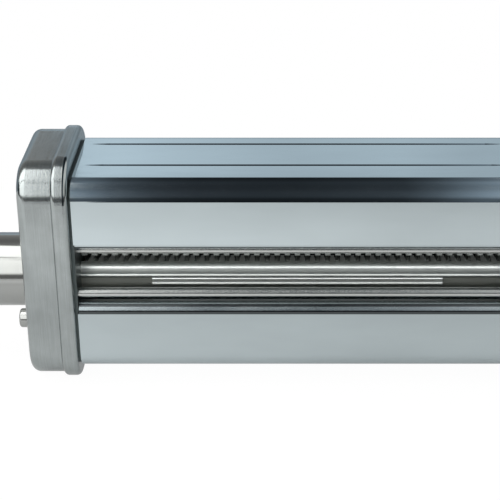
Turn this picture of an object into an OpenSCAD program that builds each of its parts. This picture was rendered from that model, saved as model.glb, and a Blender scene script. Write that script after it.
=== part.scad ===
// Power-driven noodle cutter: two interleaved ring rolls in a folded sheet body
// between two cast end housings. The left housing holds the gears and the hub boss.
// X runs along the rolls, Y to the feed side, Z up. The origin lies on the drive
// axis, in the outer face of the gear cover, where the hub boss stands on it.

/* [Body] */
// Length of the sheet body between the end housings
body_len = 181.2; // [150:0.2:220]
// Depth of the sheet body, outlet side to feed side
body_depth = 58; // [54:0.5:66]
// Height of the sheet body
body_h = 83.5; // [78:0.5:96]
// Height of the section's middle above the drive axis
axis_drop = 8.8; // [7:0.1:10]
// Outer radius of the body's long bends
bend_r = 7.6; // [5:0.1:10]
// Thickness of the body sheet
sheet_t = 0.8; // [0.6:0.1:1.2]
// Reveal between the sheet body and each end housing
reveal = 1; // [0.3:0.05:1.1]

/* [Slots] */
// Height of the upper edge of the slots above the drive axis, at the rolled lip
slot_top = 22.8; // [21:0.1:24]
// Height of the lower edge of the slots, at the rolled lip
slot_bottom = -2.4; // [-5:0.1:-1]
// Outer radius of the lower shell's rolled lips
lower_lip_r = 3.9; // [3:0.1:5]
// Outer radius of the upper shell's rolled lips
upper_lip_r = 1.5; // [1.2:0.1:3]
// Flat return behind each rolled lip
lip_return = 1.4; // [0.5:0.1:2]
// Gap between the ends of the rolled lips and the side plates
lip_gap = 0.3; // [0.2:0.05:0.8]

/* [Pressed beads] */
// Place of the bead nearer the outlet side
bead_front_y = -8.4; // [-14:0.1:-4]
// Place of the bead nearer the feed side
bead_back_y = 15.2; // [6:0.1:18]
// Depth of the pressed beads
bead_depth = 0.35; // [0.2:0.05:0.5]
// Radius of the tool that presses the beads
bead_r = 1.2; // [1:0.1:3]
// Distance from the body's ends to where a bead starts
bead_inset = 3; // [2:0.5:20]
// Length of a bead's tapered end
bead_taper = 9; // [5:1:20]

/* [End housings] */
// Thickness of the inner flange casting
flange_t = 6.8; // [6:0.1:10]
// How far the flange stands proud of the sheet body, front and back
flange_proud = 2.6; // [2:0.1:7]
// How far the flange stands proud of the sheet body, above and below
flange_rise = 7; // [3:0.1:9]
// Corner radius of the flange
flange_r = 15; // [10:0.1:17]
// Rounding of the flange's rim edges
flange_edge_r = 1.9; // [0.5:0.1:2.5]
// Depth of the outer cap casting
cap_t = 13.8; // [12:0.1:18]
// How far the cap sits inside the flange outline
cap_inset = 1.6; // [1:0.05:3]
// Rounding of the cap's outer edge
cap_edge_r = 3.8; // [1.5:0.1:5]
// Wall thickness of the cap casting
cap_wall = 2.6; // [2:0.1:3.4]
// Diameter of the screw columns in the cap
column_d = 9; // [7.5:0.1:11]
// Distance from the cap's outline to the middle of its screw columns
column_inset = 9.5; // [8.5:0.1:12]

/* [Hub and drive] */
// Diameter of the mounting hub boss
hub_d = 31; // [28:0.1:34]
// Length of the mounting hub boss
hub_len = 26; // [20:0.5:32]
// Diameter of the hub's spigot in the cover
hub_spigot_d = 21; // [20:0.1:24]
// Diameter of the drive shaft
shaft_d = 13; // [12:0.1:15]
// Wall of the hub bushing
hub_bushing_wall = 2; // [1.5:0.1:2.5]
// Width across the flats of the square tang
tang_w = 9.5; // [8:0.1:10.5]
// Length of the square tang
tang_len = 16; // [12:0.5:22]
// Diameter of the cross pin that couples the shaft to the roll
cross_pin_d = 2.5; // [2:0.1:3]
// Distance from the drive axis to the locating pin
pin_offset = 24.3; // [21.5:0.1:26]
// Angle of the locating pin below the outlet side
pin_angle = 31; // [15:1:40]
// Diameter of the locating pin
pin_d = 7.9; // [5:0.1:8.5]
// How far the locating pin stands out of the cover
pin_out = 3.6; // [2.5:0.1:6]
// Diameter of the locating pin's shank
pin_shank_d = 4; // [3:0.1:4.5]

/* [Rolls] */
// Distance between the two roll axes
roll_spacing = 18; // [17.6:0.1:18.4]
// Outer diameter of the cutting rings
ring_d = 20; // [19.6:0.1:20.6]
// Diameter at the bottom of the grooves
groove_d = 15.2; // [14:0.1:15.6]
// Distance from one ring to the next on a roll
ring_pitch = 4.18; // [4:0.02:5]
// Gap between the side of a ring and the groove it turns in
ring_side_gap = 0.1; // [0.05:0.01:0.2]
// Diameter of the roll journals
journal_d = 10; // [8:0.1:11]
// End float of the rolls between the side plates
roll_float = 0.4; // [0.3:0.05:0.8]

/* [Gears] */
// Teeth on each gear
gear_teeth = 18; // [17:1:20]
// Width of the gears
gear_w = 8; // [6:0.1:8.6]
// Thinning of each tooth at the pitch circle, for backlash
gear_backlash = 0.16; // [0.1:0.01:0.3]

/* [Bearings] */
// Wall of the roll bushings
bushing_wall = 2; // [1.5:0.1:2.4]
// Radial running clearance of every shaft in its bushing
running_gap = 0.04; // [0.02:0.01:0.09]
// Diameter of the retaining rings
clip_d = 15; // [13:0.1:16]
// Thickness of the retaining rings
clip_t = 1; // [0.8:0.1:1.4]

/* [Inner frame] */
// Thickness of the side plates
side_plate_t = 1.2; // [1.1:0.1:2]
// Diameter of the tie rods
rod_d = 4; // [3.4:0.1:5]
// Distance of the outlet's lower rod from the drive axis, above the lower lip
outlet_rod_y = 25; // [24:0.1:25.5]
// Height of the outlet's lower rod above the drive axis
outlet_rod_z = 1.4; // [0.5:0.1:2]
// Distance of the feed's lower rod from the drive axis, under the feed guide
feed_rod_y = 18; // [17.5:0.1:19]
// Height of the feed's lower rod
feed_rod_z = -1.9; // [-3:0.1:-1]
// Distance of the upper slot rods from the drive axis, outlet and feed side
upper_rod_y = 20.5; // [19.5:0.1:21]
// Height of the upper slot rods above the drive axis
upper_rod_z = 18.9; // [18.5:0.1:20]
// Height of the feed's upper rod, over the feed guide
upper_feed_rod_z = 19.4; // [19.2:0.1:20]
// Height of the rod under the top
top_rod_z = 40; // [36:0.5:44]
// Height of the rod over the bottom
bottom_rod_z = -22; // [-26:0.5:-18]
// Diameter of the tie rod screws
tie_screw_d = 2.4; // [2:0.1:2.6]
// Head diameter of the tie rod screws
tie_head_d = 5; // [4:0.1:6]
// Head height of the tie rod screws
tie_head_h = 1.8; // [1.4:0.1:2.4]

/* [Combs and guides] */
// Thickness of the comb and guide sheet
comb_t = 0.8; // [0.6:0.05:1]
// Width of a comb finger where it lies in a groove
finger_w = 1.56; // [1.2:0.02:1.6]
// Width of a comb finger outside the rings
finger_root_w = 2.1; // [1.6:0.05:2.6]
// Distance from the drive axis plane to the finger tips
finger_tip_y = 3.8; // [3.6:0.1:5]
// Distance from the drive axis plane to the finger roots
finger_root_y = 13; // [12:0.1:14]
// Height of the lower comb's finger roots above the drive axis
lower_root_z = 9.3; // [8.9:0.1:9.6]
// Outer radius of the lower comb's bend
lower_bend_r = 2.6; // [2:0.1:3.4]
// Height of the lower comb's upright leg, down to its hem
lower_leg = 2.2; // [1.8:0.1:3]
// Height of the upper comb's finger roots above the drive axis
upper_root_z = 12.3; // [12:0.1:13]
// Outer radius of the upper comb's bend
upper_bend_r = 1.4; // [1.2:0.1:2]
// Height of the upper comb's upright leg, up to its hem
upper_leg = 5.2; // [4:0.1:6]
// Height of the finger slots in the upper comb's leg
upper_slot_h = 2.5; // [2:0.1:3]
// Height of the lower comb's skirt, from its hem down
skirt_h = 5.7; // [5:0.1:6]
// Radius of the hems along the combs and guides
comb_hem_r = 0.9; // [0.7:0.05:1]
// Length of the stiffening tab under the lower comb
tab_len = 120; // [80:1:140]
// Radius of the two ridges along the tab
ridge_r = 0.75; // [0.5:0.05:0.8]
// Distance from the lower comb's hem to the tab's upper ridge
ridge_drop = 1.65; // [1.5:0.05:1.8]
// Distance between the tab's two ridges
ridge_pitch = 2.05; // [1.8:0.05:2.1]
// Distance of the feed guides' inner edges from the drive axis plane
guide_in_y = 9.2; // [9:0.1:10]
// Half of the gap between the feed guides at their inner edges
guide_in_gap = 2.8; // [2.4:0.1:3]
// Distance of the feed guides' outer edges from the drive axis plane
guide_out_y = 22.4; // [21:0.1:23]
// Half of the gap between the feed guides at their outer edges
guide_out_gap = 7.4; // [7:0.1:7.6]
// Depth of the tapped holes in the tie rods
tap_len = 8; // [5:0.5:12]

/* [Screws] */
// Diameter of the cover screws
screw_d = 4; // [3:0.1:5]
// Head diameter of the cover screws
screw_head_d = 7.4; // [6:0.1:8]

/* [Hidden] */
$fn = 64;

// Stations along the rolls
flange_x = cap_t;
body_x0 = cap_t + flange_t;
body_x1 = body_x0 + body_len;
mid_x = body_x0 + body_len / 2;
plate_x0 = body_x0 + side_plate_t;
plate_x1 = body_x1 - side_plate_t;
end_x = 2 * mid_x;

// Section sizes
body_z0 = axis_drop - body_h / 2;
body_z1 = axis_drop + body_h / 2;
front_y = -body_depth / 2;
flange_w = body_depth + 2 * flange_proud;
flange_h = body_h + 2 * flange_rise;
cap_w = flange_w - 2 * cap_inset;
cap_h = flange_h - 2 * cap_inset;
cap_r = flange_r - cap_inset;
upper_z = roll_spacing;
nip_z = roll_spacing / 2;
bushing_d = journal_d + 2 * running_gap + 2 * bushing_wall;
hub_bushing_d = shaft_d + 2 * running_gap + 2 * hub_bushing_wall;

// Cutting rings: each ring turns in the other roll's groove
ring_w = ring_pitch / 2 - ring_side_gap;
roll_half = body_len / 2 - side_plate_t - roll_float;
ring_count = floor(roll_half / ring_pitch);
smallest_ring = 0.2;
gear_gap = 1.4;
gear_x = cap_wall + gear_gap;
cut = 0.5;
column_y = cap_w / 2 - column_inset;
column_z = cap_h / 2 - column_inset;

// Screws: cross recess, blind end of the threads, room round the tie screws' heads
recess_len = screw_head_d * 0.55;
recess_w = 0.9;
recess_depth = 1;
blind_t = 2;
head_room = 0.4;

// Drive shaft: socket for the lower roll, cross pin, shoulder and tang
socket_x = -6.5;
cross_x = -3;
pin_below = 0.2;
shoulder_x = -hub_len - 2;
tang_x = shoulder_x - tang_len;
tang_corner_d = shaft_d - 0.6;
chamfer = 1;
hub_ring_d = shaft_d + 4;
clip_gap = 0.4;
ring_x = end_x - flange_x + clip_gap;
journal_end = ring_x + clip_t + chamfer;

// Gear teeth, in degrees and in parts of the module or of the half pitch
pressure_angle = 20;
dedendum = 1.25;
root_half = 1.15;

// Combs
finger_tip_z = nip_z - 0.8;
root_ledge = 1.2;
hem_proud = 0.55;
bend_tongue = 0.3;
lower_waist = 0.35;
upper_waist = 0.48;

// Turns a shape drawn in plan, extruded up, so that it runs along X in the YZ plane
module along_x(x = 0) {
    translate([x, 0, 0]) rotate([90, 0, 90]) children();
}

// Rod of diameter d from x0 to x1 at the given place in the section
module rod_x(d, x0, x1, y = 0, z = 0) {
    translate([x0, y, z]) rotate([0, 90, 0]) cylinder(d = d, h = x1 - x0);
}

// Half section of a plate rim: radius r from the corner centre, thickness t, edge rounding e
module rim_profile(r, t, e) {
    square([r, t - e]);
    square([r - e, t]);
    intersection() {
        translate([r - e, t - e]) circle(r = e);
        translate([r - e, t - e]) square([e, e]);
    }
}

// Plate with rounded corners r and one rounded rim edge e, lying on z = 0
module rounded_plate(w, h, r, t, e) {
    cw = w - 2 * r;
    ch = h - 2 * r;
    translate([-cw / 2, -ch / 2, 0]) cube([cw, ch, t]);
    for (k = [0:3])
        translate([(k == 0 || k == 3 ? 1 : -1) * cw / 2, (k < 2 ? 1 : -1) * ch / 2, 0])
            rotate([0, 0, 90 * k]) rotate_extrude(angle = 90) rim_profile(r, t, e);
    for (s = [0, 180]) rotate([0, 0, s]) {
        translate([cw / 2, ch / 2, 0]) rotate([90, 0, 0]) linear_extrude(ch) rim_profile(r, t, e);
        translate([-cw / 2, ch / 2, 0]) rotate([90, 0, 90]) linear_extrude(cw) rim_profile(r, t, e);
    }
}

// Rounded rectangle in plan
module rounded_rect(w, h, r) {
    square([w - 2 * r, h], center = true);
    square([w, h - 2 * r], center = true);
    for (a = [-1, 1], b = [-1, 1])
        translate([a * (w / 2 - r), b * (h / 2 - r)]) circle(r = r);
}

// The four screw columns of a cap, in section coordinates
module at_columns() {
    for (a = [-1, 1], b = [-1, 1])
        translate([0, a * column_y, axis_drop + b * column_z]) children();
}

// Cap casting with its open side at x = cap_t
module cap_casting() {
    difference() {
        translate([cap_t, 0, axis_drop]) rotate([90, 0, -90])
            rounded_plate(cap_w, cap_h, cap_r, cap_t, cap_edge_r);
        difference() {
            along_x(cap_wall) translate([0, axis_drop])
                linear_extrude(cap_t)
                rounded_rect(cap_w - 2 * cap_wall, cap_h - 2 * cap_wall, cap_r - cap_wall);
            at_columns() rod_x(column_d, 0, cap_t + cut);
        }
        at_columns() rod_x(screw_d, -cut, cap_t + cut);
        at_columns() screw_head_cone();
    }
}

// Countersunk head, flush with the cap's outer face
module screw_head_cone() {
    rotate([0, 90, 0])
        cylinder(d1 = screw_head_d, d2 = screw_d, h = (screw_head_d - screw_d) / 2);
}

// Countersunk cover screws, from the cap's face into the flange
module cover_screws() {
    at_columns() {
        difference() {
            screw_head_cone();
            cross_recess();
        }
        rod_x(screw_d, (screw_head_d - screw_d) / 2, body_x0 - blind_t);
    }
}

// Cross recess, cut into a screw head that ends at x = 0
module cross_recess() {
    for (a = [0, 90]) rotate([a, 0, 0])
        translate([-cut, -recess_len / 2, -recess_w / 2])
            cube([cut + recess_depth, recess_len, recess_w]);
}

// Flange casting with its inner face at x = body_x0
module flange_casting() {
    difference() {
        union() {
            translate([flange_x + flange_t / 2, 0, axis_drop]) rotate([90, 0, 90])
                rounded_plate(flange_w, flange_h, flange_r, flange_t / 2, flange_edge_r);
            translate([flange_x + flange_t / 2, 0, axis_drop]) rotate([90, 0, -90])
                rounded_plate(flange_w, flange_h, flange_r, flange_t / 2, flange_edge_r);
        }
        for (z = [0, upper_z]) rod_x(bushing_d, flange_x - cut, body_x0 + cut, 0, z);
        at_columns() rod_x(screw_d, flange_x - cut, body_x0 - blind_t);
        at_tie_rods() {
            rod_x(tie_screw_d, flange_x - cut, body_x0 + cut);
            rod_x(tie_head_d + head_room, flange_x - cut, flange_x + tie_head_h);
        }
    }
}

// Places of the six tie rods in the section
module at_tie_rods() {
    for (p = [[-outlet_rod_y, outlet_rod_z], [feed_rod_y, feed_rod_z],
            [-upper_rod_y, upper_rod_z], [upper_rod_y, upper_feed_rod_z],
            [0, top_rod_z], [0, bottom_rod_z]])
        translate([0, p[0], p[1]]) children();
}

// Side plate that fills the sheet body's section, outer face at body_x0
module side_plate() {
    difference() {
        along_x(body_x0) translate([0, axis_drop]) linear_extrude(side_plate_t)
            rounded_rect(body_depth - 2 * sheet_t, body_h - 2 * sheet_t, bend_r - sheet_t);
        for (z = [0, upper_z])
            rod_x(bushing_d, body_x0 - cut, plate_x0 + cut, 0, z);
        at_tie_rods() rod_x(tie_screw_d, body_x0 - cut, plate_x0 + cut);
    }
}

// Mirrors a left-hand piece to the right-hand end
module at_right_end() {
    translate([2 * mid_x, 0, 0]) mirror([1, 0, 0]) children();
}

// Quarter tube along X: outer radius r, centre (y, z), from angle a over 90 degrees
module quarter_strip(r, y, z, a, x0, x1) {
    translate([x0, y, z]) rotate([90, 0, 90]) rotate([0, 0, a])
        rotate_extrude(angle = 90) translate([r - sheet_t, 0]) square([sheet_t, x1 - x0]);
}

// Half section of one shell, drawn on the outlet side: panel, bend, rolled lip and return
module shell_side(edge_z, lip_z, lip_r) {
    up = edge_z > lip_z ? 1 : -1;
    x0 = body_x0 + reveal;
    x1 = body_x1 - reveal;
    lip_x0 = plate_x0 + lip_gap;
    lip_x1 = plate_x1 - lip_gap;
    bend_z = edge_z - up * bend_r;
    tangent_z = lip_z + up * lip_r;
    low = min(bend_z, tangent_z);
    translate([x0, front_y, low]) cube([x1 - x0, sheet_t, abs(bend_z - tangent_z)]);
    quarter_strip(bend_r, front_y + bend_r, bend_z, up > 0 ? 90 : 180, x0, x1);
    quarter_strip(lip_r, front_y + lip_r, tangent_z, up > 0 ? 180 : 90, lip_x0, lip_x1);
    translate([lip_x0, front_y + lip_r, up > 0 ? lip_z : lip_z - sheet_t])
        cube([lip_x1 - lip_x0, lip_return, sheet_t]);
}

// Folded shell: web at edge_z, and a side with a rolled lip at lip_z on both sides
module folded_shell(edge_z, lip_z, lip_r) {
    up = edge_z > lip_z ? 1 : -1;
    shell_side(edge_z, lip_z, lip_r);
    mirror([0, 1, 0]) shell_side(edge_z, lip_z, lip_r);
    translate([body_x0 + reveal, front_y + bend_r, up > 0 ? edge_z - sheet_t : edge_z])
        cube([body_len - 2 * reveal, body_depth - 2 * bend_r, sheet_t]);
}

// Tool that presses a long bead with tapered ends into the top
module bead_tool(y) {
    x0 = body_x0 + bead_inset;
    x1 = body_x1 - bead_inset;
    z = body_z1 + bead_r - bead_depth;
    rod_x(2 * bead_r, x0 + bead_taper, x1 - bead_taper, y, z);
    translate([x0 + bead_taper, y, z]) rotate([0, -90, 0])
        cylinder(r1 = bead_r, r2 = bead_r - 1.2 * bead_depth, h = bead_taper);
    translate([x1 - bead_taper, y, z]) rotate([0, 90, 0])
        cylinder(r1 = bead_r, r2 = bead_r - 1.2 * bead_depth, h = bead_taper);
}

// Outline of one half of a ring roll: x from the middle out, y the radius
function ring_steps(shift) = [
    for (k = [-ring_count - 1 : ring_count])
        let (c = (k + shift) * ring_pitch,
            a = max(-roll_half, c - ring_w / 2),
            b = min(roll_half, c + ring_w / 2))
        if (b > a + smallest_ring)
            each [[groove_d / 2, a], [ring_d / 2, a], [ring_d / 2, b], [groove_d / 2, b]]
];

// Ring roll with journals that reach x_left and x_right; shift 0 puts a ring in the middle
module ring_roll(shift, x_left, x_right) {
    translate([mid_x, 0, 0]) rotate([0, 90, 0]) rotate_extrude()
        polygon(concat(
            [[0, x_left - mid_x], [journal_d / 2, x_left - mid_x],
                [journal_d / 2, -roll_half], [groove_d / 2, -roll_half]],
            ring_steps(shift),
            [[groove_d / 2, roll_half], [journal_d / 2, roll_half],
                [journal_d / 2, x_right - mid_x], [0, x_right - mid_x]]));
}

// Point on an involute of base radius rb at radius r, as angle from its start
function involute_angle(rb, r) =
    let (p = sqrt(max(0, r * r / (rb * rb) - 1))) p * 180 / PI - atan(p);

// One flank: points from the base or root circle to the tip, half a tooth from its middle
function flank(m, n, side) =
    let (rp = m * n / 2, rb = rp * cos(pressure_angle), rt = rp + m,
        half = 90 / n - gear_backlash / 2 / rp * 180 / PI,
        start = half + involute_angle(rb, rp))
    [for (i = [0:6])
        let (r = rb + (rt - rb) * (side > 0 ? 6 - i : i) / 6,
            a = side * (start - involute_angle(rb, r)))
        [r * cos(a), r * sin(a)]];

// Spur gear outline with a tooth on the +X axis
module gear_outline(m, n) {
    root = m * n / 2 - dedendum * m;
    w = root_half * 90 / n;
    polygon([for (t = [0 : n - 1])
        let (a = 360 / n * t)
        each [for (p = concat([[root * cos(-w), root * sin(-w)]],
            flank(m, n, -1), flank(m, n, 1),
            [[root * cos(w), root * sin(w)]]))
            [p[0] * cos(a) - p[1] * sin(a), p[0] * sin(a) + p[1] * cos(a)]]]);
}

// Gear on a roll journal at height z, turned by phase
module roll_gear(z, phase) {
    difference() {
        translate([gear_x, 0, z]) rotate([90, 0, 90]) rotate([0, 0, phase])
            linear_extrude(gear_w) gear_outline(roll_spacing / gear_teeth, gear_teeth);
        rod_x(journal_d, gear_x - cut, gear_x + gear_w + cut, 0, z);
    }
}

// Plain bushing in the flange and side plate
module roll_bushing(z) {
    difference() {
        rod_x(bushing_d, flange_x, plate_x0, 0, z);
        rod_x(journal_d + 2 * running_gap, flange_x - cut, plate_x0 + cut, 0, z);
    }
}

// Snap ring round a shaft: d inside, outer outside, open on one side
module snap_ring(d, outer, x, z) {
    difference() {
        rod_x(outer, x, x + clip_t, 0, z);
        rod_x(d, x - cut, x + clip_t + cut, 0, z);
        translate([x - cut, -d / 4, z]) cube([clip_t + 2 * cut, d / 2, outer]);
    }
}

// Section of a flat strip of sheet from point a to point b, on the left of that line.
// Its end at b has a tongue, which reaches into the bend that follows.
module strip_section(a, b, tongue = 0) {
    u = (b - a) / norm(b - a);
    n = comb_t * [-u[1], u[0]];
    polygon([a, b, b + n / 2 + tongue * u, b + n, a + n]);
}

// Section of a curved sheet: outer radius r about centre c, from angle a over sweep
module arc_section(r, c, a, sweep) {
    translate(c) intersection() {
        difference() {
            circle(r = r);
            circle(r = r - comb_t);
        }
        polygon(concat([[0, 0]], [for (i = [0:2])
            2 * r * [cos(a + sweep * i / 2), sin(a + sweep * i / 2)]]));
    }
}

// Middles of the fingers of a comb along X: one at every pitch, moved on by shift
function finger_places(shift) = [
    for (k = [-ring_count - 1 : ring_count])
        let (c = (k + shift) * ring_pitch)
        if (abs(c) + finger_root_w / 2 < roll_half + roll_float) mid_x + c
];

// Cuts the slots between the fingers: fingers of width w, from y0 to y1 and z0 to z1
module finger_slots(places, w, y0, y1, z0, z1) {
    n = len(places);
    for (i = [0:n]) {
        x0 = i == 0 ? plate_x0 - cut : places[i - 1] + w / 2;
        x1 = i == n ? plate_x1 + cut : places[i] - w / 2;
        translate([x0, y0, z0]) cube([x1 - x0, y1 - y0, z1 - z0]);
    }
}

// Centre of the bend that leads from a comb's fingers to its upright leg
function bend_centre(root, tip, r) =
    let (u = (root - tip) / norm(root - tip)) root - r * [u[1], -u[0]];

// Comb: a sheet with fingers that slope up to their roots, a bend and an upright leg.
// Root and tip lie on its upper face. The slots run back from the tips to ledge, wide
// ones where the rings turn, which is inside waist.
module comb(shift, root, tip, r, leg, ledge, waist, slot_z) {
    places = finger_places(shift);
    centre = bend_centre(root, tip, r);
    start = atan2(tip[0] - root[0], root[1] - tip[1]) + 180;
    top = max(root[1], tip[1]) + cut;
    difference() {
        along_x(plate_x0) linear_extrude(plate_x1 - plate_x0) {
            strip_section(tip, root, bend_tongue);
            arc_section(r, centre, start - 180, 360 - start);
            translate([centre[0] - r, centre[1] - leg]) square([comb_t, leg]);
        }
        finger_slots(places, finger_w, waist, cut, slot_z, top);
        finger_slots(places, finger_root_w, ledge, waist, slot_z, top);
    }
}

// Place of a comb's hem in the section: at the foot of the leg, a little proud of it
function hem_place(root, tip, r, leg) =
    bend_centre(root, tip, r) + [comb_hem_r - hem_proud - r, -leg];

module gear_cover() {
    color([0.66, 0.69, 0.68]) difference() {
        cap_casting();
        rod_x(hub_spigot_d, -cut, cap_wall + cut);
        at_locating_pin() rod_x(pin_shank_d, -cut, cap_wall + cut);
    }
}

module left_flange() {
    color([0.66, 0.69, 0.68]) flange_casting();
}

module mounting_hub() {
    color([0.8, 0.81, 0.8]) difference() {
        union() {
            translate([-hub_len, 0, 0]) rotate([0, 90, 0])
                cylinder(d1 = hub_d - 2 * chamfer, d2 = hub_d, h = chamfer);
            rod_x(hub_d, chamfer - hub_len, 0);
            rod_x(hub_spigot_d, 0, cap_wall);
        }
        rod_x(hub_bushing_d, -hub_len - cut, cap_wall + cut);
    }
}

module hub_bushing() {
    color([0.78, 0.6, 0.36]) difference() {
        rod_x(hub_bushing_d, -hub_len, cap_wall);
        rod_x(shaft_d + 2 * running_gap, -hub_len - cut, cap_wall + cut);
    }
}

// Place of the locating pin in the section
module at_locating_pin() {
    translate([0, -pin_offset * cos(pin_angle), -pin_offset * sin(pin_angle)]) children();
}

module locating_pin() {
    round_r = 1;
    color([0.75, 0.76, 0.75]) at_locating_pin() {
        rod_x(pin_shank_d, 0, cap_wall);
        rotate([0, -90, 0]) rotate_extrude() {
            square([pin_d / 2, pin_out - round_r]);
            square([pin_d / 2 - round_r, pin_out]);
            intersection() {
                translate([pin_d / 2 - round_r, pin_out - round_r]) circle(r = round_r);
                translate([pin_d / 2 - round_r, pin_out - round_r]) square(round_r);
            }
        }
    }
}

module gear_cover_screws() {
    color([0.7, 0.7, 0.7]) cover_screws();
}

module left_side_plate() {
    color([0.6, 0.62, 0.62]) side_plate();
}

module right_side_plate() {
    color([0.6, 0.62, 0.62]) at_right_end() side_plate();
}

module right_flange() {
    color([0.66, 0.69, 0.68]) at_right_end() flange_casting();
}

module right_cover() {
    color([0.66, 0.69, 0.68]) at_right_end() cap_casting();
}

module right_cover_screws() {
    color([0.7, 0.7, 0.7]) at_right_end() cover_screws();
}

module upper_shell() {
    color([0.8, 0.83, 0.84]) difference() {
        folded_shell(body_z1, slot_top, upper_lip_r);
        bead_tool(bead_front_y);
        bead_tool(bead_back_y);
    }
}

module lower_shell() {
    color([0.8, 0.83, 0.84]) folded_shell(body_z0, slot_bottom, lower_lip_r);
}

module lower_roll() {
    color([0.72, 0.73, 0.72]) difference() {
        ring_roll(0, socket_x, journal_end);
        cross_pin(cut);
    }
}

module upper_roll() {
    color([0.72, 0.73, 0.72]) translate([0, 0, upper_z])
        ring_roll(0.5, gear_x, journal_end);
}

// Cross pin through the drive shaft, longer than the shaft is thick by 2 * extra
module cross_pin(extra) {
    translate([cross_x, 0, -shaft_d / 2 - extra])
        cylinder(d = cross_pin_d, h = shaft_d + 2 * extra);
}

module drive_shaft() {
    color([0.7, 0.71, 0.7]) difference() {
        union() {
            rod_x(shaft_d, shoulder_x, gear_x - chamfer);
            intersection() {
                translate([tang_x, -tang_w / 2, -tang_w / 2])
                    cube([tang_len + chamfer, tang_w, tang_w]);
                union() {
                    rod_x(tang_corner_d, tang_x + chamfer, shoulder_x + chamfer);
                    translate([tang_x, 0, 0]) rotate([0, 90, 0]) cylinder(
                        d1 = tang_corner_d - 2 * chamfer, d2 = tang_corner_d, h = chamfer);
                }
            }
        }
        rod_x(journal_d, socket_x, gear_x + cut);
        cross_pin(cut);
    }
}

module drive_cross_pin() {
    color([0.6, 0.6, 0.6]) cross_pin(-pin_below);
}

module hub_ring() {
    color([0.5, 0.5, 0.5]) snap_ring(shaft_d, hub_ring_d, -hub_len - clip_gap - clip_t, 0);
}

module drive_gear() {
    color([0.55, 0.56, 0.55]) roll_gear(0, 90);
}

module driven_gear() {
    color([0.55, 0.56, 0.55]) roll_gear(upper_z, 90 + 180 / gear_teeth);
}

module lower_left_bushing() {
    color([0.78, 0.6, 0.36]) roll_bushing(0);
}

module upper_left_bushing() {
    color([0.78, 0.6, 0.36]) roll_bushing(upper_z);
}

module lower_right_bushing() {
    color([0.78, 0.6, 0.36]) at_right_end() roll_bushing(0);
}

module upper_right_bushing() {
    color([0.78, 0.6, 0.36]) at_right_end() roll_bushing(upper_z);
}

module lower_comb() {
    root = [-finger_root_y, lower_root_z];
    tip = [-finger_tip_y, finger_tip_z];
    hem = hem_place(root, tip, lower_bend_r, lower_leg);
    tab_y = hem[0] - ridge_r + hem_proud / 2;
    tab_z = hem[1] - ridge_drop - ridge_pitch;
    color([0.74, 0.76, 0.75]) {
        comb(0.5, root, tip, lower_bend_r, lower_leg, root[0] + root_ledge,
            -ring_d * lower_waist, finger_tip_z - 2 * comb_t);
        rod_x(2 * comb_hem_r, plate_x0, plate_x1, hem[0], hem[1]);
        translate([mid_x - tab_len / 2, tab_y, tab_z])
            cube([tab_len, comb_t, hem[1] - tab_z]);
        translate([plate_x0, tab_y + comb_t, hem[1] - skirt_h])
            cube([plate_x1 - plate_x0, comb_t, skirt_h]);
        for (z = [tab_z, tab_z + ridge_pitch])
            rod_x(2 * ridge_r, mid_x - tab_len / 2, mid_x + tab_len / 2, hem[0], z);
    }
}

module upper_comb() {
    root = [-finger_root_y, -upper_root_z];
    tip = [-finger_tip_y, finger_tip_z - roll_spacing];
    hem = hem_place(root, tip, upper_bend_r, upper_leg);
    color([0.74, 0.76, 0.75]) mirror([0, 0, 1]) {
        comb(0, root, tip, upper_bend_r, upper_leg, root[0] - 2 * upper_bend_r,
            -ring_d * upper_waist, -upper_root_z - upper_slot_h);
        rod_x(2 * comb_hem_r, plate_x0, plate_x1, hem[0], hem[1]);
    }
}

// Feed guide: a sheet that slopes from its hemmed outer edge to the nip. side is 1 above
// the dough and -1 below it.
module feed_guide(side) {
    inner = [guide_in_y, nip_z + side * guide_in_gap];
    outer = [guide_out_y, nip_z + side * guide_out_gap];
    along_x(plate_x0) linear_extrude(plate_x1 - plate_x0) {
        strip_section(side > 0 ? inner : outer, side > 0 ? outer : inner);
        translate(outer + [0, side * comb_t / 2]) circle(r = comb_hem_r);
    }
}

module lower_feed_guide() {
    color([0.74, 0.76, 0.75]) feed_guide(-1);
}

module upper_feed_guide() {
    color([0.74, 0.76, 0.75]) feed_guide(1);
}

// Tie rod between the side plates, tapped at both ends
module tie_rod(y, z) {
    color([0.78, 0.79, 0.78]) difference() {
        rod_x(rod_d, plate_x0, plate_x1, y, z);
        rod_x(tie_screw_d, plate_x0 - cut, plate_x0 + tap_len, y, z);
        rod_x(tie_screw_d, plate_x1 - tap_len, plate_x1 + cut, y, z);
    }
}

module outlet_tie_rod() {
    tie_rod(-outlet_rod_y, outlet_rod_z);
}

module feed_tie_rod() {
    tie_rod(feed_rod_y, feed_rod_z);
}

module top_tie_rod() {
    tie_rod(0, top_rod_z);
}

module bottom_tie_rod() {
    tie_rod(0, bottom_rod_z);
}

module upper_outlet_rod() {
    tie_rod(-upper_rod_y, upper_rod_z);
}

module upper_feed_rod() {
    tie_rod(upper_rod_y, upper_feed_rod_z);
}

// Screws of the tie rods at the left end
module left_tie_screws() {
    at_tie_rods() {
        rod_x(tie_head_d, flange_x, flange_x + tie_head_h);
        rod_x(tie_screw_d, flange_x + tie_head_h, plate_x0 + tap_len);
    }
}

module tie_rod_screws() {
    color([0.55, 0.56, 0.56]) {
        left_tie_screws();
        at_right_end() left_tie_screws();
    }
}

module lower_roll_ring() {
    color([0.5, 0.5, 0.5]) snap_ring(journal_d, clip_d, ring_x, 0);
}

module upper_roll_ring() {
    color([0.5, 0.5, 0.5]) snap_ring(journal_d, clip_d, ring_x, upper_z);
}

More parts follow.
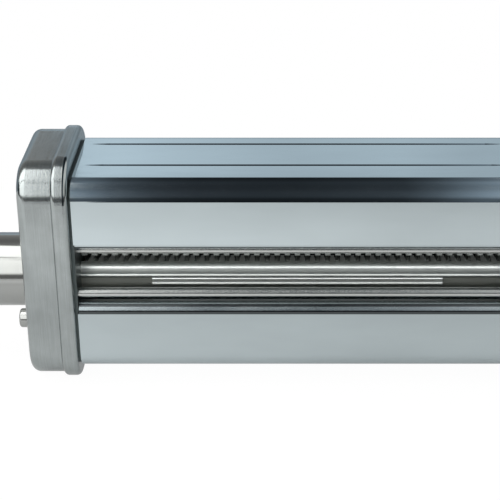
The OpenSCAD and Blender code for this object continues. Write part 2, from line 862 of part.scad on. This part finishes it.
gear_cover();
left_flange();
mounting_hub();
hub_bushing();
locating_pin();
gear_cover_screws();
left_side_plate();
right_side_plate();
right_flange();
right_cover();
right_cover_screws();
upper_shell();
lower_shell();
lower_roll();
upper_roll();
drive_shaft();
drive_cross_pin();
hub_ring();
drive_gear();
driven_gear();
lower_left_bushing();
upper_left_bushing();
lower_right_bushing();
upper_right_bushing();
lower_comb();
upper_comb();
lower_feed_guide();
upper_feed_guide();
outlet_tie_rod();
feed_tie_rod();
top_tie_rod();
bottom_tie_rod();
upper_outlet_rod();
upper_feed_rod();
tie_rod_screws();
lower_roll_ring();
upper_roll_ring();
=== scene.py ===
# %% [markdown]
# # A noodle cutter attachment, dressed in Blender
# The machine is a metal box with two ring rolls inside. Nearly everything that shows is
# bright metal, so this lesson is about metal: metal has hardly any colour of its own, and
# what we see in it is the room. That is why the room is built as carefully as the finishes.
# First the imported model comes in. It stays where it is, and everything else follows it.

# %% Load the frame
import math

import bpy
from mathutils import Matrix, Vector


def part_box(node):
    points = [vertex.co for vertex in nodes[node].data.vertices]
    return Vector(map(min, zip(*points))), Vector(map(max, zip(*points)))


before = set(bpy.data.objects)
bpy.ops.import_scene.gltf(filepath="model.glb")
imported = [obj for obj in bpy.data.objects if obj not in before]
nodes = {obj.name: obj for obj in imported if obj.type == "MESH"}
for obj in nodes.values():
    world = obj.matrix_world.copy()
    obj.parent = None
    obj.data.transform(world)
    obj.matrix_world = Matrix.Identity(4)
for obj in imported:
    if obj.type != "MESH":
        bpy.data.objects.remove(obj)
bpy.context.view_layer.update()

scene = bpy.context.scene
print("loaded", len(nodes), "nodes")

# %% [markdown]
# ## Reference places
# Every place below is worked out from the model itself: the middle of the sheet body, its
# front panel and the floor that the end flanges stand on. If the model grows, the room
# grows with it.

# %% Measure the machine
body_low, body_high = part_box("upper_shell")
lower_low, lower_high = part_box("lower_shell")
flange_low, flange_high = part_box("left_flange")
middle_x = (body_low[0] + body_high[0]) / 2
front_y = body_low[1]
floor_z = flange_low[2]
print("body middle x %.4f, front y %.4f, floor z %.4f" % (middle_x, front_y, floor_z))

# %% [markdown]
# ## The camera
# A long lens flattens the machine, as a catalogue picture does. The camera stands in front
# of the body's middle, above it, and looks down at 25 degrees. A small sideways shift puts
# the machine off centre without turning the camera, so upright edges stay upright.

# %% Make the camera
camera_pitch = math.radians(25.1)
camera_distance = 0.6008
aim_height = 0.0223
camera_data = bpy.data.cameras.new("camera")
camera = bpy.data.objects.new("camera", camera_data)
scene.collection.objects.link(camera)
camera_data.lens = 108.14
camera_data.sensor_width = 36.0
camera_data.shift_x = -0.0948
camera.location = (middle_x, front_y - camera_distance * math.cos(camera_pitch),
                   aim_height + camera_distance * math.sin(camera_pitch))
camera.rotation_euler = (math.pi / 2 - camera_pitch, 0.0, 0.0)
scene.camera = camera
print("camera at", tuple(round(c, 3) for c in camera.location))

# %% [markdown]
# ## Small tools
# A few jobs come back all through this lesson: reading a value off a short list of points,
# adding a node with its settings, mapping one range of values to another, filling a colour
# ramp and asking where the shaded point is. They are written once, here.

# %% Helpers for values and nodes
def along(value, stops):
    """Reads a value off a list of (place, value) points, with straight lines between."""
    if value <= stops[0][0]:
        return stops[0][1]
    for (a, low), (b, high) in zip(stops, stops[1:]):
        if value <= b:
            return low + (high - low) * (value - a) / (b - a)
    return stops[-1][1]


def add(tree, kind, **settings):
    """A new node, with its properties set by name."""
    node = tree.nodes.new("ShaderNode" + kind)
    for key, value in settings.items():
        setattr(node, key, value)
    return node


def ranged(tree, source, from_low, from_high, low, high, smooth=False):
    """Maps a value from one range to another, and holds it at the ends."""
    node = add(tree, "MapRange", interpolation_type="SMOOTHSTEP" if smooth else "LINEAR")
    for name, value in (("From Min", from_low), ("From Max", from_high),
                        ("To Min", low), ("To Max", high)):
        node.inputs[name].default_value = value
    tree.links.new(source, node.inputs["Value"])
    return node.outputs["Result"]


def times(tree, a, b):
    """One value times another."""
    node = add(tree, "Math", operation="MULTIPLY")
    tree.links.new(a, node.inputs[0])
    tree.links.new(b, node.inputs[1])
    return node.outputs["Value"]


def filled_ramp(tree, first, last, stops, colour=(1.0, 1.0, 1.0)):
    """A colour ramp. Its stops are shares of one colour, and first and last are its ends."""
    ramp = add(tree, "ValToRGB")
    ends = ramp.color_ramp.elements
    for end, share in ((ends[0], first), (ends[1], last)):
        end.color = (*(c * share for c in colour), 1)
    for at, share in stops:
        ends.new(at).color = (*(c * share for c in colour), 1)
    return ramp


def place(tree):
    """The X, Y and Z of the shaded point, in metres."""
    where = add(tree, "NewGeometry")
    split = add(tree, "SeparateXYZ")
    tree.links.new(where.outputs["Position"], split.inputs["Vector"])
    return split.outputs


def new_surface(name):
    """An empty material with an output. Returns the material, its tree and the socket."""
    material = bpy.data.materials.new(name)
    material.use_nodes = True
    tree = material.node_tree
    tree.nodes.clear()
    return material, tree, add(tree, "OutputMaterial").inputs["Surface"]

# %% [markdown]
# ## The floor
# A white sheet lies under the machine. For the camera nearly all of its brightness is its
# own glow, so it reads as white paper, and a small share is real light, which keeps a faint
# shadow of the machine. For mirrors half of it is glow and half is real light. The metal
# mirrors this sheet everywhere, so it matters how bright each part of it is. The glow that
# mirrors see is painted: a painted shadow at the machine's foot, a painted pool of light a
# hand's width in front of it, and painted dimming to the right. Those painted differences
# are what shade the flat panels. The sheet ends a hand's length in front of the machine,
# and further out on the left. The bends of the body show that edge as a crisp change from
# pale to dark.

# %% Make the paper floor
paper_front = 0.205
paper_front_left = 0.36
paper_back = 0.21
paper_side = 0.90
step_far = -0.130
step_near = -0.118
corners = ((-paper_side, -paper_front_left), (step_far, -paper_front_left),
           (step_near, -paper_front), (paper_side, -paper_front),
           (paper_side, paper_back), (-paper_side, paper_back))
mesh = bpy.data.meshes.new("paper_floor")
mesh.from_pydata([(middle_x + x, front_y + y, floor_z) for x, y in corners],
                 [], [tuple(range(len(corners)))])
floor = bpy.data.objects.new("paper_floor", mesh)
scene.collection.objects.link(floor)

paper, tree, surface = new_surface("white_paper")
matt = add(tree, "BsdfDiffuse")
matt.inputs["Color"].default_value = (0.92, 0.92, 0.92, 1)
white_glow = add(tree, "Emission")
white_glow.inputs["Strength"].default_value = 1.02
mirror_glow = add(tree, "Emission")
where = place(tree)
ramp_reach = 0.20
# Painted shadow and light: the glow that mirrors see is painted dim at the machine's foot,
# bright a hand's width in front and dimmer to the right.
painted_floor_shading = filled_ramp(tree, 0.58, 0.68, ((0.06, 0.68), (0.22, 0.72), (0.36, 0.60),
                                       (0.64, 1.03), (0.78, 0.95)))
tree.links.new(ranged(tree, where["Y"], front_y, front_y - ramp_reach, 0.0, 1.0),
               painted_floor_shading.inputs["Fac"])
rightward = ranged(tree, where["X"], middle_x - 0.06, middle_x + 0.05, 1.2, 0.98)
tree.links.new(times(tree, painted_floor_shading.outputs["Color"], rightward),
               mirror_glow.inputs["Strength"])
seen = add(tree, "LightPath")
for_camera = add(tree, "MixShader")
for_camera.inputs["Fac"].default_value = 0.95
for_mirrors = add(tree, "MixShader")
for_mirrors.inputs["Fac"].default_value = 0.5
either = add(tree, "MixShader")
for mixer, second in ((for_camera, white_glow), (for_mirrors, mirror_glow)):
    tree.links.new(matt.outputs["BSDF"], mixer.inputs[1])
    tree.links.new(second.outputs["Emission"], mixer.inputs[2])
tree.links.new(seen.outputs["Is Camera Ray"], either.inputs["Fac"])
tree.links.new(for_mirrors.outputs[0], either.inputs[1])
tree.links.new(for_camera.outputs[0], either.inputs[2])
tree.links.new(either.outputs[0], surface)
floor.data.materials.append(paper)
print("paper floor", paper_side * 2, "by", paper_front + paper_back, "m")

# %% [markdown]
# ## The room that the metal mirrors
# The camera sees plain white behind the machine, and all other rays but mirror rays find an
# even, soft room. Mirrors see a studio: a pale blue-grey wall low at the back, which ends
# at a clean line, and darkness above and in front. The wall is drawn with the direction of
# each ray. Height gives the end of the wall. From side to side its brightness changes: it
# steps up near the left and then falls away to the right.

# %% Make the world
world = bpy.data.worlds.new("studio")
scene.world = world
world.use_nodes = True
tree = world.node_tree
tree.nodes.clear()

direction = add(tree, "TexCoord")
split = add(tree, "SeparateXYZ")
tree.links.new(direction.outputs["Generated"], split.inputs["Vector"])
at_back = ranged(tree, split.outputs["Y"], 0.0, 0.25, 0.0, 1.0, smooth=True)
wall_end = (0.373, 0.415)
wall_half_width = 0.3
below_end = ranged(tree, split.outputs["Z"], *wall_end, 1.0, 0.0, smooth=True)
low_down = times(tree, below_end, ranged(tree, split.outputs["Z"], 0.0, 0.33, 0.55, 1.0))
sideways = filled_ramp(tree, 0.62, 0.60, (
    (0.24, 0.69), (0.262, 0.88), (0.303, 0.88), (0.348, 0.82), (0.392, 0.775),
    (0.497, 0.69), (0.614, 0.72), (0.686, 0.65)))
tree.links.new(ranged(tree, split.outputs["X"], -wall_half_width, wall_half_width, 0.0, 1.0),
               sideways.inputs["Fac"])
wall_share = times(tree, times(tree, at_back, low_down), sideways.outputs["Color"])

wall = add(tree, "MixRGB")
wall.inputs["Color1"].default_value = (0.006, 0.013, 0.017, 1)
wall.inputs["Color2"].default_value = (0.84, 0.98, 1.09, 1)
tree.links.new(wall_share, wall.inputs["Fac"])

mirror_room = add(tree, "Background")
tree.links.new(wall.outputs["Color"], mirror_room.inputs["Color"])
soft_room = add(tree, "Background")
soft_room.inputs["Color"].default_value = (0.93, 0.96, 1.0, 1)
soft_room.inputs["Strength"].default_value = 0.9
white_room = add(tree, "Background")
white_room.inputs["Color"].default_value = (1, 1, 1, 1)
seen = add(tree, "LightPath")
for_mirrors = add(tree, "MixShader")
for_camera = add(tree, "MixShader")
output = add(tree, "OutputWorld")
tree.links.new(seen.outputs["Is Glossy Ray"], for_mirrors.inputs["Fac"])
tree.links.new(soft_room.outputs[0], for_mirrors.inputs[1])
tree.links.new(mirror_room.outputs[0], for_mirrors.inputs[2])
tree.links.new(seen.outputs["Is Camera Ray"], for_camera.inputs["Fac"])
tree.links.new(for_mirrors.outputs[0], for_camera.inputs[1])
tree.links.new(white_room.outputs[0], for_camera.inputs[2])
tree.links.new(for_camera.outputs[0], output.inputs["Surface"])
print("world with", len(tree.nodes), "nodes")

# %% [markdown]
# ## Soft boxes
# Two large lit cloths stand to the left and right of the camera and arch over the machine.
# They are strips of a wide cylinder round it, so their edges mirror as straight lines along
# its bends. A thin gap parts the left cloth in two: the polished hub shows it as one fine
# dark line. Above them the left cloth goes on, much dimmer. Between left and right hangs a
# faint blue cloth that fades towards its middle. It is all that the bends of the body pick
# up, so they read as deep blue with brighter ends. How bright each point is gets stored on
# the mesh as a colour, and the material only reads it.

# %% Make the soft boxes
arch_radius = 0.52
cloth, tree, surface = new_surface("soft_box_cloth")
glow = add(tree, "Emission")
tree.links.new(add(tree, "Attribute", attribute_name="glow").outputs["Color"],
               glow.inputs["Color"])
tree.links.new(glow.outputs["Emission"], surface)


def lit_arch(name, across, low, high, climb, tint=(1.0, 0.995, 0.98), steps=24):
    """A lit strip of a cylinder round the machine. across gives the glow from left to
    right of the middle, and climb how it changes with the angle above the front horizon.
    low and high give the two edges, as such angles, also from left to right."""
    columns = sorted({x for stops in (across, low, high) for x, _ in stops})
    columns = [x for x in columns if across[0][0] <= x <= across[-1][0]]
    points = []
    levels = []
    faces = []
    for c, x in enumerate(columns):
        for i in range(steps + 1):
            angle = along(x, low) + (along(x, high) - along(x, low)) * i / steps
            a = math.radians(angle)
            points.append((middle_x + x, -arch_radius * math.cos(a),
                           arch_radius * math.sin(a)))
            level = along(x, across) * along(angle, climb)
            levels.extend((level * tint[0], level * tint[1], level * tint[2], 1.0))
            if c and i:
                k = c * (steps + 1) + i
                faces.append((k - steps - 2, k - steps - 1, k, k - 1))
    mesh = bpy.data.meshes.new(name)
    mesh.from_pydata(points, [], faces)
    mesh.attributes.new("glow", "FLOAT_COLOR", "POINT").data.foreach_set("color", levels)
    obj = bpy.data.objects.new(name, mesh)
    scene.collection.objects.link(obj)
    obj.data.materials.append(cloth)
    obj.visible_camera = False


left_end = -0.165
right_end = 0.150
left_glow = [(-1.3, 3.0), (-0.185, 3.0), (-0.177, 2.9), (-0.170, 0.5), (left_end, 0.36)]
right_glow = [(right_end, 0.45), (0.160, 0.9), (0.195, 1.2), (1.3, 1.2)]
rise = [(-8, 0.085), (6, 0.085), (9, 0.45), (13, 0.76), (30, 0.77), (45, 0.82), (62, 0.96),
        (90, 1.0)]
gap = [(-0.25, 60.5), (-0.216, 58.5), (-0.205, 54.0), (-0.193, 51.0), (-0.10, 47.5)]
gap_height = 3.2
gap_top = [(x, angle + gap_height) for x, angle in gap]
top_edge = [(-0.25, 104), (-0.205, 99)]
lit_arch("soft_box_left_low", left_glow, [(left_end, -8)], gap, rise)
lit_arch("soft_box_left_high", left_glow, gap_top, top_edge, rise)
lit_arch("soft_box_left_top", left_glow, top_edge, [(left_end, 156)],
         [(99, 0.14), (121, 0.08), (140, 0.11), (156, 0.15)])
lit_arch("soft_box_right", right_glow, [(right_end, -8)], [(right_end, 140)], rise)
lit_arch("blue_cloth",
         [(left_end, 0.33), (-0.155, 0.26), (-0.131, 0.115), (-0.102, 0.056),
          (-0.072, 0.040), (0.0, 0.036), (0.076, 0.058), (0.100, 0.12), (0.124, 0.25),
          (right_end, 0.40)],
         [(left_end, -16)], [(left_end, 150)],
         [(-16, 0.34), (3, 0.42), (12, 0.8), (21, 1.05), (39, 1.0), (59, 0.75),
          (77, 0.7), (99, 0.85), (121, 0.5), (150, 0.5)],
         tint=(1.0, 1.2, 1.42), steps=36)
print("soft boxes made")

# %% [markdown]
# ## Two lamps for the combs
# The combs sit deep in the slot, where hardly any light arrives. Two lamps light them and
# nothing else: light linking names the pieces that a lamp reaches and the pieces that may
# shade them. One hangs in front and a little higher, for the faces that look forward, and
# a faint one stands behind and above, for the tops of the fingers.

# %% Make the comb lamps
combs = bpy.data.collections.new("combs")
for name in ("lower_comb", "upper_comb"):
    combs.objects.link(nodes[name])


def comb_lamp(name, forward, height, short_side, power):
    """A long lamp that lights the combs alone. forward is how far it stands from the
    body's front, along Y."""
    where = Vector((middle_x, front_y + forward, height))
    lamp_data = bpy.data.lights.new(name, "AREA")
    lamp_data.shape = "RECTANGLE"
    lamp_data.size = comb_lamp_length
    lamp_data.size_y = short_side
    lamp_data.energy = power
    lamp = bpy.data.objects.new(name, lamp_data)
    scene.collection.objects.link(lamp)
    lamp.location = where
    lamp.rotation_euler = (comb_middle - where).to_track_quat("-Z", "Y").to_euler()
    lamp.visible_camera = False
    lamp.light_linking.receiver_collection = combs
    lamp.light_linking.blocker_collection = combs


comb_middle = Vector((middle_x, front_y + 0.013, 0.005))
comb_lamp_length = 0.5
comb_lamp("comb_lamp_front", -0.135, 0.15, 0.06, 0.32)
comb_lamp("comb_lamp_back", 0.20, 0.15, 0.05, 0.12)
print("comb lamps made")

# %% [markdown]
# ## A metal to start from
# Each metal here is a Principled shader with metallic at 1. Most keep one colour, and what
# varies from place to place is how rough they are and how their surface undulates, because
# that is what makes one steel look turned and another look rolled. The sheet and the castings
# also vary a little in tone. The sheet's lower lip carries painted reflections, and the lower
# comb's skirt carries painted shade. The helpers keep each finish down to a few lines.

# %% Helpers for metals
def new_metal(name, colour):
    """A metal with a fixed colour. Returns the material, its tree and its shader."""
    material = bpy.data.materials.new(name)
    material.use_nodes = True
    shader = material.node_tree.nodes["Principled BSDF"]
    shader.inputs["Base Color"].default_value = (*colour, 1)
    shader.inputs["Metallic"].default_value = 1.0
    return material, material.node_tree, shader


def grain(tree, scale, detail=3.0, roughness=0.6):
    """Noise in metres, stretched by a different scale along each axis."""
    where = add(tree, "TexCoord")
    stretch = add(tree, "Mapping")
    stretch.inputs["Scale"].default_value = scale
    noise = add(tree, "TexNoise")
    noise.inputs["Scale"].default_value = 1.0
    noise.inputs["Detail"].default_value = detail
    noise.inputs["Roughness"].default_value = roughness
    tree.links.new(where.outputs["Object"], stretch.inputs["Vector"])
    tree.links.new(stretch.outputs["Vector"], noise.inputs["Vector"])
    return noise.outputs["Fac"]


def add_bump(tree, shader, height, strength, depth):
    """Bump from a height value; depth is in metres. Bumps can be chained."""
    bump = add(tree, "Bump")
    bump.inputs["Strength"].default_value = strength
    bump.inputs["Distance"].default_value = depth
    tree.links.new(height, bump.inputs["Height"])
    if shader.inputs["Normal"].is_linked:
        tree.links.new(shader.inputs["Normal"].links[0].from_socket, bump.inputs["Normal"])
    tree.links.new(bump.outputs["Normal"], shader.inputs["Normal"])


def vary(tree, shader, colour, *levels):
    """Multiplies a colour by each level and gives the result to the shader."""
    for level in levels:
        product = add(tree, "MixRGB", blend_type="MULTIPLY")
        product.inputs["Fac"].default_value = 1.0
        if isinstance(colour, tuple):
            product.inputs["Color1"].default_value = (*colour, 1)
        else:
            tree.links.new(colour, product.inputs["Color1"])
        tree.links.new(level, product.inputs["Color2"])
        colour = product.outputs["Color"]
    tree.links.new(colour, shader.inputs["Base Color"])


def spread_along_x(tree, shader, amount):
    """Marks that run round the X axis: they spread each highlight out along X."""
    shader.inputs["Anisotropic"].default_value = amount
    shader.inputs["Anisotropic Rotation"].default_value = 0.25
    round_x = add(tree, "Tangent", direction_type="RADIAL", axis="X")
    tree.links.new(round_x.outputs["Tangent"], shader.inputs["Tangent"])


def dress(material, *names):
    """Gives CAD nodes this material on all their slots."""
    for name in names:
        mesh = nodes[name].data
        mesh.materials.clear()
        mesh.materials.append(material)

# %% [markdown]
# ## Mirror sheet
# The folded body is polished steel with a bright plating. A mirror this clean shows two
# small faults: long soft waves from rolling and folding, and a faint haze of wiping marks.
# The rolled lips of the slots are the exception. The rollers that formed them left fine
# marks all round, so there the sheet is rougher, and its highlights run along the edge.
# The roughness rises within the height of a lip. Across the lower lip a ramp also paints
# narrow lighter and darker bands. They are a shortcut: they stand for the rod and the dark
# slot that such a lip mirrors, and they stay when the view changes. Over the whole sheet a
# faint cloud varies the tone by a few percent.

# %% Make the mirror sheet
sheet_colour = (0.505, 0.570, 0.590)
lip_radius = 0.0039
lips_low = lower_high[2] - lip_radius * 0.92
lips_high = body_low[2] + 0.0012
slot_middle = (lips_low + lips_high) / 2
lip_start = (lips_high - lips_low) / 2
mirror_sheet, tree, shader = new_metal("mirror_sheet", sheet_colour)
haze = ranged(tree, grain(tree, (60, 260, 260), 4), 0.3, 0.7, 0.025, 0.075)
from_middle = add(tree, "Math", operation="SUBTRACT")
from_middle.inputs[1].default_value = slot_middle
tree.links.new(place(tree)["Z"], from_middle.inputs[0])
distance = add(tree, "Math", operation="ABSOLUTE")
tree.links.new(from_middle.outputs["Value"], distance.inputs[0])
on_lip = ranged(tree, distance.outputs["Value"], lip_start, lip_start - 0.0006, 0.0, 0.16)
rough = add(tree, "Math", operation="ADD")
tree.links.new(haze, rough.inputs[0])
tree.links.new(on_lip, rough.inputs[1])
tree.links.new(rough.outputs["Value"], shader.inputs["Roughness"])
spread_along_x(tree, shader, 0.9)
# Painted reflections: lighter and darker bands across the lower lip's height stand for the
# mirrored rod and dark slot.
painted_lip_reflections = filled_ramp(tree, 1.0, 1.0, (
    (0.03, 0.16), (0.247, 0.14), (0.29, 0.7), (0.334, 1.0), (0.538, 1.0), (0.596, 0.25),
    (0.70, 0.25), (0.74, 1.3), (0.785, 1.3), (0.803, 0.12), (0.86, 0.12), (0.90, 1.0)),
    sheet_colour)
tree.links.new(ranged(tree, place(tree)["Z"], lower_high[2] - lip_radius * 1.12,
                      lower_high[2] + 0.001, 0.0, 1.0), painted_lip_reflections.inputs["Fac"])
cloud = ranged(tree, grain(tree, (14, 45, 45), 3), 0.3, 0.7, 0.955, 1.04)
vary(tree, shader, painted_lip_reflections.outputs["Color"], cloud)
add_bump(tree, shader, grain(tree, (9, 40, 40), 1.5), 0.25, 0.0002)
dress(mirror_sheet, "upper_shell", "lower_shell")
print("dressed the shells; lips within %.1f mm of the slot's middle" % (lip_start * 1000))

# %% [markdown]
# ## Satin castings
# The end housings are cast, plated and brushed. On the rim the brush ran round the
# outline, so the scratches are fine along X and long the other way. On the flat end faces
# they run upright. The normal tells which face we are on, and picks the right scratches.
# The scratches and some soft stains vary the tone a little. Under them the skin of the
# casting is slightly lumpy, and that makes the bright bends sparkle.

# %% Make the satin casting
casting_colour = (0.350, 0.380, 0.380)
satin_casting, tree, shader = new_metal("satin_casting", casting_colour)
round_rim = grain(tree, (3200, 40, 40), 5, 0.7)
on_ends = grain(tree, (40, 2600, 40), 5, 0.7)
facing = add(tree, "NewGeometry")
facing_split = add(tree, "SeparateXYZ")
tree.links.new(facing.outputs["Normal"], facing_split.inputs["Vector"])
end_share = add(tree, "Math", operation="ABSOLUTE")
tree.links.new(facing_split.outputs["X"], end_share.inputs[0])
scratches = add(tree, "MixRGB")
tree.links.new(end_share.outputs["Value"], scratches.inputs["Fac"])
tree.links.new(round_rim, scratches.inputs["Color1"])
tree.links.new(on_ends, scratches.inputs["Color2"])
tree.links.new(ranged(tree, scratches.outputs["Color"], 0.3, 0.7, 0.08, 0.22),
               shader.inputs["Roughness"])
streaks = ranged(tree, scratches.outputs["Color"], 0.3, 0.7, 0.86, 1.12)
stains = ranged(tree, grain(tree, (70, 70, 70), 3), 0.3, 0.7, 0.90, 1.08)
vary(tree, shader, casting_colour, streaks, stains)
add_bump(tree, shader, scratches.outputs["Color"], 0.35, 0.00006)
add_bump(tree, shader, grain(tree, (900, 900, 900), 4, 0.7), 0.28, 0.00008)
dress(satin_casting, "gear_cover", "left_flange", "right_flange", "right_cover")
print("dressed the castings")

# %% [markdown]
# ## Turned and drawn parts
# The hub boss, the locating pin, the drive shaft and the rolls are turned, and the tie
# rods are polished in a lathe too, so their marks are fine rings that vary only along X.
# Rings spread a highlight out along X, which is why a thin rod shows one long bright line.
# The combs are stamped sheet with a softer sheen, and their grain is drawn out along X.

# %% Make the turned and drawn metals
def turned_metal(name, colour, rough_low, rough_high, marks=(4200, 8, 8), rings=0.0,
                 depth=0.00003):
    """A metal with fine marks at the given scales. rings spreads its highlights along X,
    and depth is how deep the marks are, in metres."""
    material, tree, shader = new_metal(name, colour)
    fine = grain(tree, marks, 4)
    tree.links.new(ranged(tree, fine, 0.3, 0.7, rough_low, rough_high),
                   shader.inputs["Roughness"])
    if rings:
        spread_along_x(tree, shader, rings)
    add_bump(tree, shader, fine, 0.18, depth)
    return material


dress(turned_metal("polished_hub", (0.37, 0.38, 0.37), 0.08, 0.16, rings=0.6),
      "mounting_hub", "locating_pin")
dress(turned_metal("roll_steel", (0.40, 0.41, 0.39), 0.14, 0.24, rings=0.7),
      "lower_roll", "upper_roll")
dress(turned_metal("shaft_steel", (0.60, 0.60, 0.59), 0.15, 0.28, rings=0.7), "drive_shaft")
dress(turned_metal("rod_steel", (0.56, 0.58, 0.565), 0.19, 0.27, rings=0.9),
      "outlet_tie_rod", "feed_tie_rod", "top_tie_rod", "bottom_tie_rod",
      "upper_outlet_rod", "upper_feed_rod")
comb_colour = (0.68, 0.71, 0.69)
comb_finish = (comb_colour, 0.34, 0.44, (120, 700, 700), 0.0, 0.000003)
dress(turned_metal("comb_steel", *comb_finish),
      "upper_comb", "lower_feed_guide", "upper_feed_guide")
dress(turned_metal("side_plate_steel", (0.10, 0.12, 0.12), 0.34, 0.48, (400, 60, 1500)),
      "left_side_plate", "right_side_plate")
dress(turned_metal("bronze", (0.70, 0.49, 0.25), 0.28, 0.42), "hub_bushing",
      "lower_left_bushing", "upper_left_bushing", "lower_right_bushing",
      "upper_right_bushing")
dress(turned_metal("gear_steel", (0.42, 0.42, 0.41), 0.25, 0.40), "drive_gear", "driven_gear")
dress(turned_metal("fastener_steel", (0.50, 0.50, 0.49), 0.18, 0.32), "gear_cover_screws",
      "right_cover_screws", "tie_rod_screws", "drive_cross_pin")
dress(turned_metal("spring_steel", (0.10, 0.10, 0.11), 0.30, 0.45), "hub_ring",
      "lower_roll_ring", "upper_roll_ring")
print("dressed the turned parts")

# %% [markdown]
# ## The lower comb's skirt
# The lower comb has the same finish, except that its skirt, the plate below the fold, is
# painted much darker, as if deep in shade. Two ranges find those faces: they are lower
# than the fold and farther back than the tab.

# %% Dress the lower comb
comb_low, comb_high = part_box("lower_comb")
skirt_top = comb_low[2] + 0.0052
tab_back = comb_low[1] + 0.0011
lower_comb_steel = turned_metal("lower_comb_steel", *comb_finish)
tree = lower_comb_steel.node_tree
split = place(tree)
is_low = ranged(tree, split["Z"], skirt_top, skirt_top - 0.0004, 0.0, 1.0)
is_behind = ranged(tree, split["Y"], tab_back, tab_back + 0.0002, 0.0, 1.0)
# Painted shade: the skirt below the fold and behind the tab gets a much darker colour than
# the comb's own.
painted_skirt_shade = add(tree, "MixRGB")
painted_skirt_shade.inputs["Color1"].default_value = (*comb_colour, 1)
painted_skirt_shade.inputs["Color2"].default_value = (0.20, 0.215, 0.17, 1)
tree.links.new(times(tree, is_low, is_behind), painted_skirt_shade.inputs["Fac"])
tree.links.new(painted_skirt_shade.outputs["Color"], tree.nodes["Principled BSDF"].inputs["Base Color"])
dress(lower_comb_steel, "lower_comb")
print("lower comb from z", round(comb_low[2], 4), "to", round(comb_high[2], 4))

# %% [markdown]
# ## Render settings
# The view transform stays plain, so colours come out as they are written.

# %% Finish
scene.view_settings.view_transform = "Standard"
